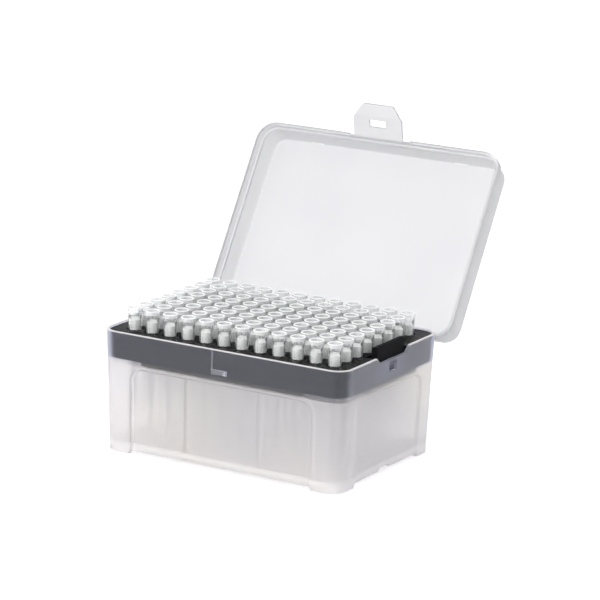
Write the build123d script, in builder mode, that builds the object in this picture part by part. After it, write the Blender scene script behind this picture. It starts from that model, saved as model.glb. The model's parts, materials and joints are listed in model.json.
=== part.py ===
"""Hinged box of 96 filter pipette tips: base, lift-out rack, tips, filters, lid and latches.

Millimetres.  X runs along the rows of twelve tips, -Y is the opening side, +Z is up.
The pieces are drawn about the centre of the base, and then moved so that the origin lies in
the middle of the outline that the open box covers, on the surface that its feet stand on.
"""

from build123d import *
from math import cos, radians, sin, tan
import os

os.makedirs("parts", exist_ok=True)

# ---------------------------------------------------------------- driving dimensions
# grid of tips, the usual eight by twelve
pitch = 9.0
columns = 12
rows = 8

# base box
grid_margin = 10.8          # outermost tip axis to the outside of the rim
base_height = 53.5          # feet to rim
side_draft = 2.0            # degrees, left and right walls
front_draft = 1.0           # degrees, front and back walls
wall = 1.2
corner_radius = 7.5
floor_underside = 3.2
floor_thickness = 1.2
foot_height = 1.3
post_width = 15.8           # corner post along the front, from the outside of the rim
post_depth = 15.0           # corner post along the side
panel_inset = 1.2
panel_drop = 14.9           # rim to the top of the panels
panel_corner = 6.0
panel_slope = 40.0          # degrees, shoulder round each panel
rib_offset = 18.0           # stiffening ribs, from the middle of the front and back
rib_width = 1.0
rib_depth = 2.4
rim_round = 0.3

# lid catch on the front wall
catch_width = 8.0
catch_front_width = 5.8
catch_drop = 8.6            # rim to the top of the catch
catch_height = 2.7
catch_proud = 2.0
catch_ramp = 1.1            # how far the underside slopes up to the front
ridge_width = 0.5           # fine ridge from the rim down to the catch
ridge_proud = 0.15
ridge_offset = 3.6

# openings in the side walls
latch_notch_depth = 2.8
latch_notch_half = 11.2
latch_notch_ramp = 3.3
window_half = 3.3
window_drop = 4.0           # rim to the top of the window
window_height = 4.3
thumb_notch_half = 5.0      # relief in the lower edge of the side panels
thumb_notch_height = 1.4
thumb_notch_ramp = 1.7

# rack
deck_drop = 0.6             # deck below the rim
deck_thickness = 1.6
rack_gap = 0.35             # skirt to the wall of the base
skirt = 1.2
seat_end = 4.4              # resting stretch of the skirt ends this far inside a panel
seat_lift = 1.6             # how far the skirt is raised at the corners
well_radius = 3.5
well_depth = 0.5
hole_radius = 2.15
deck_rib_depth = 3.0
deck_rib_width = 1.0
relief_half = 1.5           # small notches in the lower edge of the skirt
relief_height = 1.5

# latch of the rack
grip_half = 11.8
grip_thickness = 2.8
grip_rise = 3.9             # above the rim of the base
grip_foot = 3.2             # below the rim of the base
grip_gap = 0.3              # grip to the inside of the wall, and to the closed lid
grip_round = 0.9
arm_half = 12.6
arm_side_gap = 1.0
arm_hinge_rise = 3.1        # film hinge above the lower edge of the skirt
film_gap = 0.15             # the film hinges are drawn as a narrow gap
hook_half = 2.8
hook_proud = 0.65           # past the inside of the wall
hook_gap = 0.4              # hook to the edges of the window
hook_ramp = 2.2
deck_slot_depth = 5.1       # clear space behind the latch, from the inside of the wall

# tips
head_length = 10.0          # seat to mouth
mouth_radius = 3.375
mouth_band = 1.75
mouth_round = 0.3
socket_radius = 2.6
socket_length = 3.0
barrel_top_radius = 3.0
barrel_low_radius = 2.75
barrel_round = 0.4
barrel_ribs = 8
barrel_rib_width = 0.5
barrel_rib_proud = 0.15
barrel_rib_root = 0.2       # sunk into the wall of the barrel
neck_radius = 2.0
shank_length = 40.2         # seat to point
taper_length = 24.0
taper_radius = 1.35
point_radius = 0.45
point_bore = 0.25
shank_wall = 0.4

# filters
filter_height = 4.5
filter_seat = 0.4           # above the seat of the tip
filter_radius = 2.15
filter_fit = 0.03
filter_head_gap = 0.4       # top of the filter to the start of the flare

# lid, described shut
lid_clearance = 0.3         # skirt of the lid to the rim of the base
lid_skirt = 1.35
lid_wall = 1.0
lid_overlap = 2.8           # skirt below the rim of the base
lid_ledge_gap = 0.3         # rim of the base to the step inside the lid
lid_step_in = 1.15          # inside of the lid's body, in from the outside of the rim
lid_headroom = 1.6          # mouths of the tips to the ceiling
lid_draft = 1.0
lid_edge_round = 1.4
lid_inner_round = 0.6
lid_open_angle = 121.1
bead_setback = 0.6          # skirt thinned on either side of the latch tab
bead_gap_half = 15.4
lug_width = 6.8
lug_depth = 1.4
lug_height = 0.6
lug_offset = 37.0

# lid hinge
hinge_out = 0.35            # pin axis behind the skirt of the lid
hinge_drop = 1.5            # pin axis below the skirt of the lid
hinge_offset = 36.0
pin_radius = 0.9
pin_fit = 0.1
knuckle_radius = 1.8
knuckle_width = 7.4
knuckle_mouth = 1.4
arm_rise = 2.3              # knuckle arm on the skirt
ear_thickness = 2.4
ear_radius = 1.4
ear_drop = 5.0
ear_gap = 0.3
stop_gap = 0.35

# latch tab of the lid, described shut
tab_half = 12.3
tab_length = 15.9           # below the skirt of the lid
tab_thickness = 1.0
tab_back_gap = 0.35         # tab to the front wall of the base
tab_shoulder_run = 4.6
tab_shoulder_drop = 6.3
tab_corner = 1.8
tab_window_half = 4.2
tab_window_gap = 0.3        # edges of the window to the catch
tab_lip = 5.2               # flared end
tab_lip_angle = 10.0
tab_open_angle = 50.0       # from shut to its free position

# ---------------------------------------------------------------- derived places
rim_half_x = (columns - 1) * pitch / 2 + grid_margin
rim_half_y = (rows - 1) * pitch / 2 + grid_margin
panel_half_x = rim_half_x - post_width
panel_half_y = rim_half_y - post_depth
panel_top = base_height - panel_drop
catch_high = base_height - catch_drop
catch_low = catch_high - catch_height
window_high = base_height - window_drop
window_low = window_high - window_height
ledge = panel_top + wall
deck_top = base_height - deck_drop
tip_seat = deck_top - well_depth
tip_top = tip_seat + head_length
lid_low = base_height - lid_overlap
lid_step = base_height + lid_ledge_gap
lid_ceiling = tip_top + lid_headroom
lid_top = lid_ceiling + lid_wall
lid_half_x = rim_half_x + lid_clearance + lid_skirt
lid_half_y = rim_half_y + lid_clearance + lid_skirt
hinge_y = lid_half_y + hinge_out
hinge_z = lid_low - hinge_drop
lid_hinge = Axis((0, hinge_y, hinge_z), (1, 0, 0))
far = 4 * rim_half_x        # reach of the cutting tools
on_floor = (Align.CENTER, Align.CENTER, Align.MIN)
corner_block = (Align.MIN, Align.MIN, Align.MIN)


def half_x(height):
    """Half the width of the base box, outside, at a height."""
    return rim_half_x - (base_height - height) * tan(radians(side_draft))


def half_y(height):
    """Half the depth of the base box, outside, at a height."""
    return rim_half_y - (base_height - height) * tan(radians(front_draft))


def drafted_block(low, high, inset):
    """Solid between two heights whose sides follow the outside of the base box at an inset."""
    radius = corner_radius - inset
    with BuildPart() as block:
        with BuildSketch(Plane.XY.offset(low)):
            RectangleRounded(2 * (half_x(low) - inset), 2 * (half_y(low) - inset), radius)
        with BuildSketch(Plane.XY.offset(high)):
            RectangleRounded(2 * (half_x(high) - inset), 2 * (half_y(high) - inset), radius)
        loft(ruled=True)
    return block.part


def arched_block(plane, half_width, top, radius, depth, taper=0):
    """Block with rounded upper corners, sunk along a plane's normal from below the base."""
    with BuildPart() as block:
        with BuildSketch(plane):
            with BuildLine():
                Polyline((-half_width, top - radius), (-half_width, -top), (half_width, -top),
                         (half_width, top - radius))
                RadiusArc((half_width, top - radius), (half_width - radius, top), -radius)
                Line((half_width - radius, top), (radius - half_width, top))
                RadiusArc((radius - half_width, top), (-half_width, top - radius), -radius)
            make_face()
        extrude(amount=depth, taper=taper)
    return block.part


def side_notch(half_low, half_high, low, high):
    """Prism along +X with sloping flanks, for notches in a side wall."""
    with BuildPart() as notch:
        with BuildSketch(Plane.YZ):
            Polygon((-half_low, low), (half_low, low), (half_high, high), (-half_high, high),
                    align=None)
        extrude(amount=far)
    return notch.part


# ---------------------------------------------------------------- base box
# recesses of the four panels, each square to its leaning wall
lean_x = radians(side_draft)
lean_y = radians(front_draft)
front_wall = Plane((0, -half_y(0), 0), (-1, 0, 0), (0, cos(lean_y), sin(lean_y)))
right_wall = Plane((half_x(0), 0, 0), (0, -1, 0), (-cos(lean_x), 0, sin(lean_x)))
front_recess = arched_block(front_wall, panel_half_x, panel_top, panel_corner, panel_inset,
                            panel_slope)
right_recess = arched_block(right_wall, panel_half_y, panel_top, panel_corner, panel_inset,
                            panel_slope)

# inside, the panels stand in by the same inset and leave a level ledge for the rack
front_step = arched_block(Plane.XZ.offset(-far), panel_half_x + wall, ledge,
                          panel_corner + wall, 2 * far)
side_step = arched_block(Plane.YZ.offset(-far), panel_half_y + wall, ledge,
                         panel_corner + wall, 2 * far)
shell_block = drafted_block(0, base_height, 0)
wide_block = drafted_block(-wall, base_height + wall, wall)
narrow_block = drafted_block(-wall, base_height, wall + panel_inset)

with BuildPart() as hollow:
    add(wide_block)
    add(front_step, mode=Mode.SUBTRACT)
    add(side_step, mode=Mode.SUBTRACT)
    add(narrow_block)
    with Locations((0, 0, floor_underside)):
        Box(far, far, floor_thickness, align=on_floor, mode=Mode.SUBTRACT)
    # stiffening ribs stand on the inside of the front and back panels
    rib_face = half_y(0) - panel_inset - wall - rib_depth
    with Locations((rib_offset, rib_face, 0), (-rib_offset, rib_face, 0)):
        Box(rib_width, far, panel_top, align=(Align.CENTER, Align.MIN, Align.MIN),
            mode=Mode.SUBTRACT)
    with Locations((rib_offset, -rib_face, 0), (-rib_offset, -rib_face, 0)):
        Box(rib_width, far, panel_top, align=(Align.CENTER, Align.MAX, Align.MIN),
            mode=Mode.SUBTRACT)

latch_notch = side_notch(latch_notch_half, latch_notch_half + latch_notch_ramp,
                         base_height - latch_notch_depth, base_height)
thumb_notch = side_notch(thumb_notch_half, thumb_notch_half - thumb_notch_ramp,
                         foot_height, foot_height + thumb_notch_height)

# bracket of the lid hinge: two ears, the pin between them and a stop below the knuckle
ear_span = knuckle_width + 2 * ear_gap + 2 * ear_thickness
back_wall = half_y(hinge_z) - wall / 2
with BuildPart() as hinge_bracket:
    with BuildSketch(Plane.YZ.offset(-ear_span / 2)):
        with Locations((hinge_y, hinge_z), (back_wall, hinge_z)):
            Circle(ear_radius)
        with Locations((half_y(hinge_z - ear_drop) - wall / 2, hinge_z - ear_drop)):
            Circle(wall / 2)
        make_hull()
    extrude(amount=ear_span)
    with BuildSketch(Plane.YZ.offset(-knuckle_width / 2 - ear_gap)):
        with Locations((hinge_y, hinge_z - knuckle_radius - stop_gap)):
            Rectangle(4 * knuckle_radius + wall, 4 * ear_drop, align=(Align.CENTER, Align.MIN))
    extrude(amount=knuckle_width + 2 * ear_gap, mode=Mode.SUBTRACT)
    with BuildSketch(Plane.YZ.offset(-ear_span / 2)):
        with Locations((hinge_y, hinge_z)):
            Circle(pin_radius)
    extrude(amount=ear_span)

# wedge that the window of the lid's latch tab snaps over
catch_root = -half_y(catch_high) + wall / 2
catch_front = -half_y(catch_high) - catch_proud
with BuildPart() as catch:
    with BuildSketch(Plane.XY.offset(catch_low)):
        Polygon((-catch_width / 2, catch_root), (catch_width / 2, catch_root),
                (catch_front_width / 2, catch_front), (-catch_front_width / 2, catch_front),
                align=None)
    extrude(amount=catch_high - catch_low)
    with BuildSketch(Plane.YZ.offset(-catch_width)):
        Polygon((catch_root, catch_low), (catch_front, catch_low + catch_ramp),
                (catch_front - wall, catch_low + catch_ramp), (catch_front - wall, 0),
                (catch_root, 0), align=None)
    extrude(amount=2 * catch_width, mode=Mode.SUBTRACT)

with BuildPart() as base_box:
    add(shell_block)
    add(front_recess, mode=Mode.SUBTRACT)
    add(front_recess.mirror(Plane.XZ), mode=Mode.SUBTRACT)
    add(right_recess, mode=Mode.SUBTRACT)
    add(right_recess.mirror(Plane.YZ), mode=Mode.SUBTRACT)
    # the panels end above the bench, so that the box stands on its corner posts
    Box(2 * panel_half_x + wall, far, 2 * foot_height, mode=Mode.SUBTRACT)
    Box(far, 2 * panel_half_y + wall, 2 * foot_height, mode=Mode.SUBTRACT)
    with Locations((-hinge_offset, 0, 0), (hinge_offset, 0, 0)):
        add(hinge_bracket.part)
    add(hollow.part, mode=Mode.SUBTRACT)
    fillet(base_box.faces().sort_by(Axis.Z)[-1].edges(), rim_round)
    add(latch_notch, mode=Mode.SUBTRACT)
    add(thumb_notch, mode=Mode.SUBTRACT)
    add(thumb_notch.mirror(Plane.YZ), mode=Mode.SUBTRACT)
    # window behind which the rack's hook snaps
    with BuildSketch(Plane.YZ):
        with Locations((0, (window_low + window_high) / 2)):
            Rectangle(2 * window_half, window_high - window_low)
    extrude(amount=far, mode=Mode.SUBTRACT)
    add(catch.part)
    with Locations((-ridge_offset, -half_y(base_height) - ridge_proud, catch_high - rim_round)):
        Box(ridge_width, wall / 2, base_height - catch_high,
            align=(Align.CENTER, Align.MIN, Align.MIN))

# ---------------------------------------------------------------- tip rack
grid = [((column - (columns - 1) / 2) * pitch, (row - (rows - 1) / 2) * pitch)
        for column in range(columns) for row in range(rows)]
rack_inset = wall + rack_gap
rack_block = drafted_block(ledge, deck_top, rack_inset)
rack_hollow = drafted_block(ledge - wall, deck_top - deck_thickness, rack_inset + skirt)
slot_edge = half_x(deck_top) - wall - deck_slot_depth
arm_hinge_z = ledge + arm_hinge_rise
slot_half = arm_half + arm_side_gap
slot_floor = arm_hinge_z - skirt / 2 - film_gap

with BuildPart() as corner_lifts:
    with Locations((panel_half_x - seat_end, panel_half_y - seat_end, ledge - seat_lift)):
        Box(far, far, 2 * seat_lift, align=corner_block)
    mirror(about=Plane.XZ)
    mirror(about=Plane.YZ)

relief = side_notch(relief_half, relief_half / 2, ledge, ledge + relief_height)

with BuildPart() as tip_rack:
    add(rack_block)
    add(rack_hollow, mode=Mode.SUBTRACT)
    # ribs under the deck, between the holes
    rib_room = deck_top - deck_thickness
    for line in range(-2, 3):
        with Locations((line * 2 * pitch, 0, rib_room - deck_rib_depth)):
            Box(deck_rib_width, 2 * (half_y(ledge) - rack_inset - skirt / 2),
                deck_rib_depth + deck_thickness / 2, align=on_floor)
    for line in range(-1, 2):
        with Locations((0, line * 2 * pitch, rib_room - deck_rib_depth)):
            Box(2 * (half_x(ledge) - rack_inset - skirt / 2), deck_rib_width,
                deck_rib_depth + deck_thickness / 2, align=on_floor)
    add(corner_lifts.part, mode=Mode.SUBTRACT)
    for side in (-1, 1):
        with Locations((0, side * slot_half, 0)):
            add(relief, mode=Mode.SUBTRACT)
            add(relief.mirror(Plane.YZ), mode=Mode.SUBTRACT)
    # slot in the deck and in the skirt for the latch
    with Locations((slot_edge, 0, slot_floor)):
        Box(far, 2 * slot_half, far, align=(Align.MIN, Align.CENTER, Align.MIN),
            mode=Mode.SUBTRACT)
    with BuildSketch(Plane.XY.offset(tip_seat)):
        with Locations(*grid):
            Circle(well_radius)
    extrude(amount=2 * well_depth, mode=Mode.SUBTRACT)
    with BuildSketch(Plane.XY.offset(ledge)):
        with Locations(*grid):
            Circle(hole_radius)
    extrude(amount=far, mode=Mode.SUBTRACT)

# ---------------------------------------------------------------- latch of the rack
arm_out = half_x(ledge) - rack_inset
arm_mid = arm_out - skirt / 2
grip_out = rim_half_x - wall - grip_gap
grip_low = base_height - grip_foot
grip_top = base_height + grip_rise
hook_out = half_x(window_high) - wall + hook_proud
hook_low = window_low + hook_gap
hook_high = window_high - hook_gap

with BuildPart() as rack_latch:
    with BuildSketch(Plane.XZ.offset(-arm_half)):
        with Locations((arm_mid, arm_hinge_z)):
            Circle(skirt / 2)
        Polygon((arm_out - skirt, arm_hinge_z), (arm_out, arm_hinge_z), (arm_out, grip_low),
                (arm_out - skirt, grip_low), align=None)
    extrude(amount=2 * arm_half)
    with BuildSketch(Plane.XZ.offset(-grip_half)):
        Polygon((arm_out - skirt, grip_low - grip_thickness + skirt), (arm_out, grip_low - skirt),
                (grip_out, grip_low), (grip_out, grip_top), (grip_out - grip_thickness, grip_top),
                (grip_out - grip_thickness, grip_low), align=None)
    extrude(amount=2 * grip_half)
    top_edges = rack_latch.edges().filter_by(Axis.Y).group_by(Axis.Z)[-1]
    fillet(top_edges, grip_round)
    with BuildSketch(Plane.XZ.offset(-hook_half)):
        Polygon((arm_mid, hook_low), (arm_out, hook_low), (hook_out, hook_low + hook_ramp),
                (hook_out, hook_high), (arm_mid, hook_high), align=None)
    extrude(amount=2 * hook_half)

# ---------------------------------------------------------------- tips and filters
filter_bore = filter_radius + filter_fit
filter_top = filter_seat + filter_height
barrel_end = head_length - mouth_band

with BuildPart() as barrel_rib:
    with BuildSketch(Plane.XZ):
        Polygon((barrel_low_radius - barrel_rib_root, 2 * barrel_round),
                (barrel_low_radius, barrel_round),
                (barrel_low_radius + barrel_rib_proud, 2 * barrel_round),
                (barrel_top_radius + barrel_rib_proud, barrel_end),
                (barrel_top_radius - barrel_rib_root, barrel_end), align=None)
    extrude(amount=barrel_rib_width / 2, both=True)

with BuildPart() as tip:
    with BuildSketch(Plane.XZ):
        Polygon((point_bore, -shank_length), (point_radius, -shank_length),
                (taper_radius, -taper_length), (neck_radius, 0), (barrel_low_radius, 0),
                (barrel_top_radius, barrel_end), (mouth_radius, barrel_end),
                (mouth_radius, head_length), (socket_radius, head_length),
                (socket_radius, head_length - socket_length),
                (filter_bore, filter_top + filter_head_gap), (filter_bore, filter_seat),
                (neck_radius - shank_wall, filter_seat),
                (taper_radius - shank_wall, -taper_length), align=None)
    revolve(axis=Axis.Z)
    rings = tip.edges().filter_by(GeomType.CIRCLE)
    fillet(rings.group_by(Axis.Z)[-1], mouth_round)
    shoulder = rings.filter_by_position(Axis.Z, -wall / 10, wall / 10)
    fillet(shoulder.sort_by(SortBy.RADIUS)[-1], barrel_round)
    with PolarLocations(0, barrel_ribs):
        add(barrel_rib.part)

with BuildPart() as filter_plug:
    Cylinder(filter_radius, filter_height, align=on_floor)

# ---------------------------------------------------------------- lid, built shut
body_in_x = rim_half_x - lid_step_in
body_in_y = rim_half_y - lid_step_in
body_in_radius = corner_radius - lid_step_in
skirt_radius = corner_radius + lid_clearance

with BuildPart() as lid_cavity:
    with BuildSketch(Plane.XY.offset(lid_low - wall)):
        RectangleRounded(2 * (rim_half_x + lid_clearance), 2 * (rim_half_y + lid_clearance),
                         skirt_radius)
    extrude(amount=lid_step - lid_low + wall)
    with BuildSketch(Plane.XY.offset(lid_step)):
        RectangleRounded(2 * body_in_x, 2 * body_in_y, body_in_radius)
    extrude(amount=lid_ceiling - lid_step, taper=lid_draft)
    fillet(lid_cavity.faces().sort_by(Axis.Z)[-1].edges(), lid_inner_round)

with BuildPart() as knuckle:
    with BuildSketch(Plane.YZ.offset(-knuckle_width / 2)):
        with Locations((hinge_y, hinge_z)):
            Circle(knuckle_radius)
        Polygon((lid_half_y - lid_skirt, hinge_z + hinge_drop),
                (hinge_y - knuckle_radius * cos(radians(side_draft)), hinge_z),
                (hinge_y + knuckle_radius, hinge_z), (hinge_y + knuckle_radius, lid_low + arm_rise),
                (lid_half_y - lid_skirt, lid_low + arm_rise), align=None)
        with Locations((hinge_y, hinge_z)):
            Circle(pin_radius + pin_fit, mode=Mode.SUBTRACT)
            Rectangle(knuckle_mouth, 2 * knuckle_radius, align=(Align.CENTER, Align.MAX),
                      mode=Mode.SUBTRACT)
    extrude(amount=knuckle_width)

with BuildPart() as closed_lid:
    with BuildSketch(Plane.XY.offset(lid_low)):
        RectangleRounded(2 * lid_half_x, 2 * lid_half_y, skirt_radius + lid_skirt)
    extrude(amount=lid_step + lid_wall - lid_low)
    with BuildSketch(Plane.XY.offset(lid_step)):
        RectangleRounded(2 * (body_in_x + lid_wall), 2 * (body_in_y + lid_wall),
                         body_in_radius + lid_wall)
    extrude(amount=lid_top - lid_step, taper=lid_draft)
    fillet(closed_lid.faces().sort_by(Axis.Z)[-1].edges(), lid_edge_round)
    add(lid_cavity.part, mode=Mode.SUBTRACT)
    # the skirt is thinner round the latch tab
    with Locations((0, -lid_half_y + bead_setback, lid_low - wall)):
        Box(2 * bead_gap_half, lid_skirt, lid_step + 2 * lid_wall - lid_low + wall,
            align=(Align.CENTER, Align.MAX, Align.MIN), mode=Mode.SUBTRACT)
    # two small stacking lugs inside, against the ceiling by the front wall
    lug_back = -body_in_y - lid_wall / 4
    with Locations((-lug_offset, lug_back, lid_ceiling - lug_height),
                   (lug_offset, lug_back, lid_ceiling - lug_height)):
        Box(lug_width, lug_depth, lug_height + lid_wall / 2,
            align=(Align.CENTER, Align.MIN, Align.MIN))
    with Locations((-hinge_offset, 0, 0), (hinge_offset, 0, 0)):
        add(knuckle.part)

with BuildPart() as lid:
    add(closed_lid.part.rotate(lid_hinge, -lid_open_angle))

# ---------------------------------------------------------------- latch tab of the lid
tab_y = -rim_half_y - tab_back_gap - tab_thickness / 2
tab_root = lid_low - film_gap - tab_thickness / 2
tab_end = lid_low - tab_length
lip_top = tab_end + tab_lip
lip_out = tab_lip * tan(radians(tab_lip_angle))
tab_back = tab_y + tab_thickness / 2
tab_face = tab_y - tab_thickness / 2
tab_hinge = Axis((0, tab_y, tab_root), (1, 0, 0))

with BuildPart() as closed_tab:
    with BuildSketch(Plane.YZ.offset(-tab_half)):
        with Locations((tab_y, tab_root)):
            Circle(tab_thickness / 2)
        Polygon((tab_back, tab_root), (tab_back, lip_top), (tab_back - lip_out, tab_end),
                (tab_face - lip_out, tab_end), (tab_face, lip_top), (tab_face, tab_root),
                align=None)
    extrude(amount=2 * tab_half)
    shoulder_z = tab_end + tab_shoulder_drop
    foot_half = tab_half - tab_shoulder_run
    with BuildSketch(Plane.XZ) as tab_outline:
        Polygon((-tab_half, lid_low), (-tab_half, shoulder_z), (-foot_half, tab_end),
                (foot_half, tab_end), (tab_half, shoulder_z), (tab_half, lid_low), align=None)
        levels = tab_outline.vertices().group_by(Axis.Y)
        fillet(levels[0] + levels[1], tab_corner)
    extrude(amount=far, mode=Mode.INTERSECT)
    with BuildSketch(Plane.XZ):
        with Locations((0, (catch_low + catch_high) / 2)):
            Rectangle(2 * tab_window_half, catch_high - catch_low + 2 * tab_window_gap)
    extrude(amount=far, mode=Mode.SUBTRACT)

with BuildPart() as lid_latch:
    add(closed_tab.part.rotate(tab_hinge, -tab_open_angle).rotate(lid_hinge, -lid_open_angle))

# ---------------------------------------------------------------- placing and files
outline_front = catch_front
outline_back = lid.part.bounding_box().max.Y
to_origin = Location((0, -(outline_front + outline_back) / 2, 0))

pieces = {"base_box": base_box, "tip_rack": tip_rack, "rack_latch": rack_latch, "lid": lid,
          "lid_latch": lid_latch}
for column in range(columns):
    places = [(x, y, tip_seat) for x, y in grid[column * rows:(column + 1) * rows]]
    plug_places = [(x, y, z + filter_seat) for x, y, z in places]
    with BuildPart() as tips:
        with Locations(*places):
            add(tip.part)
    with BuildPart() as filters:
        with Locations(*plug_places):
            add(filter_plug.part)
    pieces[f"tips_column_{column + 1:02d}"] = tips
    pieces[f"filters_column_{column + 1:02d}"] = filters

for name, piece in pieces.items():
    piece.part.move(to_origin)
    piece.part.label = name
    export_step(piece.part, f"parts/{name}.step")
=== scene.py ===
"""Looks of the box of pipette tips: materials, lights, floor and camera round the fixed frame."""
import json
import math

import bpy
from mathutils import Matrix, Vector


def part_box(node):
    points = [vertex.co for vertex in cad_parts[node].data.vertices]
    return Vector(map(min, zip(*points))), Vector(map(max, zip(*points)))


MM = 0.001

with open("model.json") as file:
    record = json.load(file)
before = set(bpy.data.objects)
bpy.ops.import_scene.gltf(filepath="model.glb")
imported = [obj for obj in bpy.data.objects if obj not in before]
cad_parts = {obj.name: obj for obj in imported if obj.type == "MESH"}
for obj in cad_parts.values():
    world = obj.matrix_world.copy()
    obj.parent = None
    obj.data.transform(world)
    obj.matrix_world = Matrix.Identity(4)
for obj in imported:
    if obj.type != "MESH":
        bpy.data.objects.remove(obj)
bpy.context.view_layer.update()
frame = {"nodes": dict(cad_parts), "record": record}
cad = frame["nodes"]


# ---------------------------------------------------------------- helpers for materials
def srgb(code):
    """Scene-linear colour with an alpha of 1 from an sRGB hex code."""
    parts = [int(code[i:i + 2], 16) / 255 for i in (1, 3, 5)]
    return [p / 12.92 if p <= 0.04045 else ((p + 0.055) / 1.055) ** 2.4 for p in parts] + [1.0]


def per_mm(size):
    """Texture scale whose features are `size` millimetres apart."""
    return 1 / (size * MM)


def add(tree, kind, sockets=None, out=0, **settings):
    """Adds a node with its settings, fills its sockets with values or links, returns an output.
    A Mix of colours takes its factor at socket 0 and the two colours at sockets 6 and 7."""
    made = tree.nodes.new("ShaderNode" + kind)
    for name, value in settings.items():
        setattr(made, name, value)
    for name, value in (sockets or {}).items():
        if isinstance(value, bpy.types.NodeSocket):
            tree.links.new(value, made.inputs[name])
        else:
            made.inputs[name].default_value = value
    return made.outputs[out]


def new_material(name):
    """Empty node material, its tree, and the place of each point in the object's own metres."""
    material = bpy.data.materials.new(name)
    material.use_nodes = True
    tree = material.node_tree
    tree.nodes.clear()
    return material, tree, add(tree, "TexCoord", out="Object")


def finish(tree, sockets, lamp_share=None):
    """Ends a material in a Principled shader.  With a lamp share, the lamps shine through the
    surface in that colour, so that what lies behind the plastic is lit.  This is a device of the
    render and not a property of the plastic."""
    surface = add(tree, "BsdfPrincipled", sockets)
    if lamp_share:
        surface = add(tree, "MixShader", {
            0: add(tree, "LightPath", out="Is Shadow Ray"), 1: surface,
            2: add(tree, "BsdfTransparent", {"Color": srgb(lamp_share)})})
    tree.links.new(surface, tree.nodes.new("ShaderNodeOutputMaterial").inputs["Surface"])


# ---------------------------------------------------------------- materials
def clear_band(tree, place, tint, clear, band):
    """Colour and clearness of a wall that is drawn clearer between its foot and the rim, and painted
    slate where the rack's dark skirt stands behind it: a painted stand-in for the light the plastic
    scatters there, not a colour of the plastic.  The rim, the edge of the floor and what stands
    proud of the front are drawn milky.  These are shades for the eye: the moulding is one plastic."""
    height = add(tree, "SeparateXYZ", {0: place}, "Z")
    above = add(tree, "MapRange", {"Value": height, "From Min": (band["foot"] - 0.2) * MM,
                                   "From Max": (band["foot"] + 0.2) * MM})
    under_rim = add(tree, "MapRange", {"Value": height, "From Min": (band["rim"] - 0.45) * MM,
                                       "From Max": (band["rim"] - 0.35) * MM,
                                       "To Min": 1, "To Max": 0})
    depth = add(tree, "Math", {0: height, 1: band["slope"],
                               2: add(tree, "SeparateXYZ", {0: place}, "Y")},
                operation="MULTIPLY_ADD")
    behind = add(tree, "MapRange", {"Value": depth, "From Min": (band["front"] - 0.1) * MM,
                                    "From Max": (band["front"] - 0.05) * MM, "To Min": 0.7})
    thin = add(tree, "Math", {0: under_rim, 1: behind}, operation="MULTIPLY")
    upper = add(tree, "Math", {0: above, 1: thin}, operation="MULTIPLY")
    # Painted slate on the wall above its foot where the skirt stands behind: painted scattered light,
    # not a colour of the plastic.
    painted_slate_rise = add(tree, "MapRange", {"Value": height, "From Min": (band["foot"] + 1.4) * MM,
                                    "From Max": (band["foot"] + 2.4) * MM})
    painted_slate_on_wall = add(tree, "Math", {0: painted_slate_rise, 1: thin}, operation="MULTIPLY")
    walls = add(tree, "MapRange", {"Value": upper, "To Min": clear, "To Max": band["clear"]})
    floor_edge = add(tree, "Math", {0: height, 1: band["floor"] * MM, 2: band["floor_reach"] * MM},
                     operation="COMPARE")
    inner = add(tree, "Math", {0: thin, 1: floor_edge}, operation="SUBTRACT")
    solid = add(tree, "MapRange", {"Value": inner, "To Min": 0.5, "To Max": 1.0})
    return (add(tree, "Mix", {0: painted_slate_on_wall, 6: tint, 7: srgb(band["tint"])}, 2, data_type="RGBA"),
            add(tree, "Math", {0: walls, 1: solid}, operation="MULTIPLY"))


def frosted_polypropylene(name, tints, lamps, clear, sheen, frost_size, wave, band=None):
    """Natural polypropylene moulded against an etched tool: fine frost, slow flow marks that run
    upwards, faint clouds, and faint scuffs.  A band makes part of the wall clearer and paints it
    slate where the rack's skirt stands behind: painted scattered light."""
    material, tree, place = new_material(name)
    frost = add(tree, "TexNoise", {"Vector": place, "Scale": per_mm(frost_size), "Detail": 2.0}, "Fac")
    along = add(tree, "Mapping", {"Vector": place, "Scale": (1, 1, 0.35)})
    flow = add(tree, "TexNoise", {"Vector": along, "Scale": per_mm(22), "Detail": 2.0}, "Fac")
    cloud = add(tree, "TexNoise", {"Vector": place, "Scale": per_mm(45), "Detail": 2.0}, "Fac")
    cloudy = add(tree, "MapRange", {"Value": cloud, "From Min": 0.35, "From Max": 0.65})
    across = add(tree, "Mapping", {"Vector": place, "Scale": (0.3, 0.3, 3)})
    rub = add(tree, "TexNoise", {"Vector": across, "Scale": per_mm(3.2), "Detail": 6.0,
                                 "Roughness": 0.7}, "Fac")
    scuff = add(tree, "MapRange", {"Value": rub, "From Min": 0.62, "From Max": 0.74, "To Max": 0.03})
    gloss = add(tree, "MapRange", {"Value": flow, "From Min": 0.3, "From Max": 0.7,
                                   "To Min": sheen[0], "To Max": sheen[1]})
    waves = add(tree, "Bump", {"Height": flow, "Distance": wave * MM})
    tint = add(tree, "Mix", {0: cloudy, 6: srgb(tints[0]), 7: srgb(tints[1])}, 2, data_type="RGBA")
    if band:
        tint, clear = clear_band(tree, place, tint, clear, band)
    finish(tree, {
        "Base Color": tint,
        "Roughness": add(tree, "Math", {0: gloss, 1: scuff}, operation="ADD"),
        "Normal": add(tree, "Bump", {"Height": frost, "Distance": 0.003 * MM, "Normal": waves}),
        "IOR": 1.49, "Specular IOR Level": 0.2, "Transmission Weight": clear}, lamps)
    return material


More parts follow.
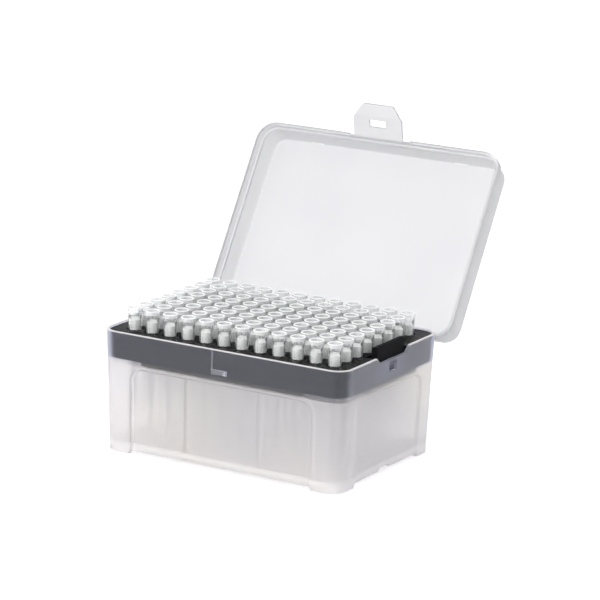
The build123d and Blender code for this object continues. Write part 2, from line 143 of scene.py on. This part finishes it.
def polished_polypropylene(name, deck, lip):
    """Clear polypropylene from a polished tool, with faint waves along each tip.  The lip of the
    mouth is cut square and looks white, the band round it is milky, the thin barrel is clear, and
    the narrow shank below the deck is painted grey: a painted shade under the black deck."""
    material, tree, place = new_material(name)
    along = add(tree, "Mapping", {"Vector": place, "Scale": (1, 1, 0.15)})
    flow = add(tree, "TexNoise", {"Vector": along, "Scale": per_mm(2.5), "Detail": 2.0}, "Fac")
    cloud = add(tree, "TexNoise", {"Vector": place, "Scale": per_mm(7), "Detail": 2.0}, "Fac")
    cloudy = add(tree, "MapRange", {"Value": cloud, "From Min": 0.35, "From Max": 0.65})
    level = add(tree, "SeparateXYZ", {0: place}, "Z")
    mouth = add(tree, "MapRange", {"Value": level, "From Min": (lip - 1.9) * MM,
                                   "From Max": (lip - 1.6) * MM, "To Min": 1.0, "To Max": 0.68})
    square = add(tree, "MapRange", {"Value": level, "From Min": (lip - 0.4) * MM,
                                    "From Max": (lip - 0.25) * MM, "To Min": 1.0, "To Max": 0.05})
    top = add(tree, "Math", {0: mouth, 1: square}, operation="MULTIPLY")
    tint = add(tree, "Mix", {0: cloudy, 6: srgb("#fcfdfd"), 7: srgb("#f6f7f8")}, 2,
               data_type="RGBA")
    # Below the deck the tips are painted grey, a painted shade under the black deck; the plastic there
    # is as clear as above.
    raised = add(tree, "MapRange", {"Value": level, "From Min": (deck - 2) * MM,
                                    "From Max": deck * MM})
    finish(tree, {
        "Base Color": add(tree, "Mix", {0: raised, 6: srgb("#d2d4d9"), 7: tint}, 2,
                          data_type="RGBA"),
        "Roughness": add(tree, "MapRange", {"Value": flow, "From Min": 0.3, "From Max": 0.7,
                                            "To Min": 0.05, "To Max": 0.12}),
        "Normal": add(tree, "Bump", {"Height": flow, "Distance": 0.02 * MM}),
        "Transmission Weight": add(tree, "Math", {0: 0.94, 1: top}, operation="MULTIPLY"),
        "IOR": 1.49}, "#f0f1f1")
    return material


def sintered_polyethylene(name):
    """White filter of fused grains about a third of a millimetre across, with pores between them that
    are painted darker: a painted shade in the hollows.
    """
    material, tree, place = new_material(name)
    grains = add(tree, "TexVoronoi", {"Vector": place, "Scale": per_mm(0.32)}, "Distance")
    pores = add(tree, "MapRange", {"Value": grains, "From Min": 0.45, "From Max": 0.8})
    specks = add(tree, "TexNoise", {"Vector": place, "Scale": per_mm(0.5), "Detail": 3.0}, "Fac")
    chalk = add(tree, "Mix", {0: specks, 6: srgb("#f7f7f5"), 7: srgb("#ebebe9")}, 2,
                data_type="RGBA")
    finish(tree, {
        # Painted shade: the pores between grains are painted darker than the white grains.
        "Base Color": add(tree, "Mix", {0: pores, 6: chalk, 7: srgb("#d0d0cd")}, 2,
                          data_type="RGBA"),
        "Roughness": add(tree, "MapRange", {"Value": specks, "From Min": 0.3, "From Max": 0.7,
                                            "To Min": 0.75, "To Max": 0.95}),
        "Normal": add(tree, "Bump", {"Height": grains, "Distance": 0.08 * MM}, invert=True),
        "IOR": 1.5})
    return material


def moulded_black_polypropylene(name):
    """Black polypropylene from a semi-polished tool: uneven gloss, fine texture, pale rub marks."""
    material, tree, place = new_material(name)
    texture = add(tree, "TexNoise", {"Vector": place, "Scale": per_mm(0.4), "Detail": 2.0}, "Fac")
    gloss = add(tree, "TexNoise", {"Vector": place, "Scale": per_mm(9), "Detail": 3.0}, "Fac")
    along = add(tree, "Mapping", {"Vector": place, "Scale": (0.25, 1, 1)})
    rub = add(tree, "TexNoise", {"Vector": along, "Scale": per_mm(2), "Detail": 6.0,
                                 "Roughness": 0.7}, "Fac")
    rubs = add(tree, "MapRange", {"Value": rub, "From Min": 0.6, "From Max": 0.78, "To Max": 0.6})
    waves = add(tree, "Bump", {"Height": gloss, "Distance": 0.03 * MM})
    finish(tree, {
        "Base Color": add(tree, "Mix", {0: rubs, 6: srgb("#0b0909"), 7: srgb("#1e1b1a")}, 2,
                          data_type="RGBA"),
        "Roughness": add(tree, "MapRange", {"Value": gloss, "From Min": 0.3, "From Max": 0.7,
                                            "To Min": 0.22, "To Max": 0.36}),
        "Normal": add(tree, "Bump", {"Height": texture, "Distance": 0.01 * MM, "Normal": waves}),
        "IOR": 1.49, "Specular IOR Level": 0.04})
    return material


def textured_black_polypropylene(name, grip_foot):
    """Matte black polypropylene of the latch, with a grid of raised grip dots on its outside, whose
    tops are painted lighter: a painted highlight on each dot.  The real ones are about half a
    millimetre apart, and are drawn coarser so that they show.  Under the grip the arm and hook are
    smooth, and are painted slate grey: a painted reflection of the light they show in the window,
    on plastic that is black."""
    material, tree, place = new_material(name)
    texture = add(tree, "TexNoise", {"Vector": place, "Scale": per_mm(0.4), "Detail": 2.0}, "Fac")
    grip = add(tree, "Mapping", {"Vector": place, "Scale": (0, 1, 1)})
    dots = add(tree, "TexVoronoi", {"Vector": grip, "Scale": per_mm(0.8), "Randomness": 0.0},
               "Distance")
    raised_heads_and_highlight = add(tree, "MapRange", {"Value": dots, "From Min": 0.2, "From Max": 0.42,
                                   "To Min": 1.0, "To Max": 0.0})
    grain = add(tree, "Bump", {"Height": texture, "Distance": 0.01 * MM})
    # Dot tops are painted lighter than the black ground: a painted highlight, since the plastic is one
    # black.
    dots_with_painted_highlight = add(tree, "Mix", {0: raised_heads_and_highlight, 6: srgb("#020203"), 7: srgb("#26262a")}, 2,
                 data_type="RGBA")
    level = add(tree, "SeparateXYZ", {0: place}, "Z")
    grip_above_painted_grey = add(tree, "MapRange", {"Value": level, "From Min": (grip_foot - 0.6) * MM,
                                       "From Max": (grip_foot - 0.2) * MM})
    finish(tree, {
        # Below the grip foot the arm and hook are painted slate grey, a painted reflection; the plastic
        # is black there.
        "Base Color": add(tree, "Mix", {0: grip_above_painted_grey, 6: srgb("#6e6e78"), 7: dots_with_painted_highlight}, 2,
                          data_type="RGBA"),
        "Roughness": add(tree, "MapRange", {"Value": texture, "From Min": 0.3, "From Max": 0.7,
                                            "To Min": 0.38, "To Max": 0.55}),
        "Normal": add(tree, "Bump", {"Height": raised_heads_and_highlight, "Distance": 0.08 * MM, "Normal": grain}),
        "IOR": 1.49, "Specular IOR Level": 0.03})
    return material


base_low, base_high = (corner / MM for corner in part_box("base_box"))
tip_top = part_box("tips_column_01")[1][2] / MM
front_slope = math.tan(math.radians(1.0))
rim, catch_proud, catch_drop = base_high[2], 2.0, 8.6
wall_front = base_low[1] + catch_proud + (rim - catch_drop) * front_slope
deck = rim - 0.6
grip_foot = rim - 3.2
# The band's tint is painted slate for the light the wall scatters in front of the rack's dark skirt.
base_band = {"foot": 39.5, "rim": rim, "front": wall_front, "slope": front_slope,
             "floor": 3.8, "floor_reach": 0.9, "clear": 0.98, "tint": "#d0d3e6"}
finishes = {
    "frosted_base": frosted_polypropylene(
        "frosted_polypropylene_of_the_base", tints=("#fdfaf8", "#faf8fa"), lamps="#efeff1",
        clear=0.78, sheen=(0.28, 0.30), frost_size=0.35, wave=0.015, band=base_band),
    "frosted_lid": frosted_polypropylene(
        "frosted_polypropylene_of_the_lid", tints=("#dfdfe1", "#dbdbde"), lamps="#e9e9eb",
        clear=0.86, sheen=(0.28, 0.30), frost_size=0.3, wave=0.002),
    "clear_tip": polished_polypropylene("polished_polypropylene_of_the_tips", deck, tip_top),
    "white_filter": sintered_polyethylene("sintered_polyethylene_of_the_filters"),
    "black_rack": moulded_black_polypropylene("moulded_black_polypropylene_of_the_rack"),
    "black_latch": textured_black_polypropylene("textured_black_polypropylene_of_the_latch",
                                                grip_foot),
}
for part in frame["record"]["subparts"]:
    for slot in cad[part["node"]].material_slots:
        slot.material = finishes[part["material_slot"]]

# ---------------------------------------------------------------- floor, world and lights
# The paper lies just under the feet.  It glows a little where it is seen straight on or through
# the plastic, so that it looks white there.
reach, floor_drop = 6.0, 0.0002
camera_glow, clear_glow = 0.35, 0.2
floor_mesh = bpy.data.meshes.new("studio_floor")
floor_mesh.from_pydata([(-reach, -reach, 0), (reach, -reach, 0), (reach, reach, 0), (-reach, reach, 0)],
                       [], [(0, 1, 2, 3)])
floor = bpy.data.objects.new("studio_floor", floor_mesh)
bpy.context.scene.collection.objects.link(floor)
floor.location.z = -floor_drop
paper, tree, place = new_material("studio_floor_paper")
fibre = add(tree, "TexNoise", {"Vector": place, "Scale": per_mm(400), "Detail": 2.0}, "Fac")
matt = add(tree, "BsdfDiffuse", {"Color": add(tree, "Mix", {0: fibre, 6: srgb("#fcfcfc"),
                                                            7: srgb("#f9f9f9")}, 2,
                                              data_type="RGBA")})
plain_view = add(tree, "Math", {0: add(tree, "LightPath", out="Is Camera Ray"), 1: camera_glow},
                 operation="MULTIPLY")
clear_view = add(tree, "Math", {0: add(tree, "LightPath", out="Is Transmission Ray"),
                                1: clear_glow}, operation="MULTIPLY")
glow = add(tree, "Emission", {"Strength": add(tree, "Math", {0: plain_view, 1: clear_view},
                                              operation="MAXIMUM")})
tree.links.new(add(tree, "AddShader", {0: matt, 1: glow}),
               tree.nodes.new("ShaderNodeOutputMaterial").inputs["Surface"])
floor_mesh.materials.append(paper)

# The surround is nearly even all round and half as bright overhead, so that upper faces keep their own
# shade.  The backdrop is plain white, seen straight on or through the plastic.
world = bpy.data.worlds.new("studio_world")
bpy.context.scene.world = world
world.use_nodes = True
sky = world.node_tree
sky.nodes.clear()
split = sky.nodes.new("ShaderNodeSeparateXYZ")
sky.links.new(add(sky, "TexCoord", out="Generated"), split.inputs[0])
behind = add(sky, "MapRange", {"Value": split.outputs["Y"], "From Min": -0.4, "From Max": 0.5,
                               "To Min": 0.85, "To Max": 0.9})
overhead = add(sky, "MapRange", {"Value": split.outputs["Z"], "From Min": 0.3, "From Max": 0.8,
                                 "To Min": 1.0, "To Max": 0.5})
surround = add(sky, "Background", {"Color": add(sky, "Math", {0: behind, 1: overhead},
                                                operation="MULTIPLY")})
backdrop = add(sky, "Background", {"Color": srgb("#ffffff")})
shown = add(sky, "Math", {0: add(sky, "LightPath", out="Is Camera Ray"),
                          1: add(sky, "LightPath", out="Is Transmission Ray")}, operation="MAXIMUM")
seen = add(sky, "MixShader", {0: shown, 1: surround, 2: backdrop})
sky.links.new(seen, sky.nodes.new("ShaderNodeOutputWorld").inputs["Surface"])


def softbox(name, place, target, width, height, power):
    """Rectangular area light aimed at a point."""
    light = bpy.data.lights.new(name, "AREA")
    light.shape = "RECTANGLE"
    light.size, light.size_y, light.energy = width, height, power
    lamp = bpy.data.objects.new(name, light)
    bpy.context.scene.collection.objects.link(lamp)
    lamp.location = place
    lamp.rotation_euler = (Vector(target) - Vector(place)).to_track_quat("-Z", "Y").to_euler()


middle = (0, 0, 0.05)
softbox("softbox_top", (-0.25, 0.1, 1.2), middle, 1.6, 1.3, 7.5)
softbox("softbox_left", (-0.25, -1.45, 0.55), middle, 1.2, 1.2, 9.0)
softbox("softbox_back", (0.3, 1.3, 0.9), middle, 1.4, 1.0, 4.0)
softbox("softbox_right", (1.3, -0.1, 0.6), middle, 1.0, 1.0, 1.2)

# ---------------------------------------------------------------- camera
azimuth, elevation, roll = (math.radians(a) for a in (29.99, 14.17, 1.72))
eye = Vector((0.6751, -1.17476, 0.4029))
ahead = Vector((-math.sin(azimuth) * math.cos(elevation), math.cos(azimuth) * math.cos(elevation),
                -math.sin(elevation)))
level = Vector((math.cos(azimuth), math.sin(azimuth), 0))
upright = level.cross(ahead)
right = level * math.cos(roll) + upright * math.sin(roll)
up = upright * math.cos(roll) - level * math.sin(roll)
camera_data = bpy.data.cameras.new("camera")
camera_data.lens, camera_data.sensor_width = 191.54, 36.0
camera_data.clip_start, camera_data.clip_end = 0.05, 30.0
camera = bpy.data.objects.new("camera", camera_data)
bpy.context.scene.collection.objects.link(camera)
camera.matrix_world = Matrix.Translation(eye) @ Matrix((right, up, -ahead)).transposed().to_4x4()
bpy.context.scene.camera = camera
bpy.context.scene.view_settings.view_transform = "Standard"
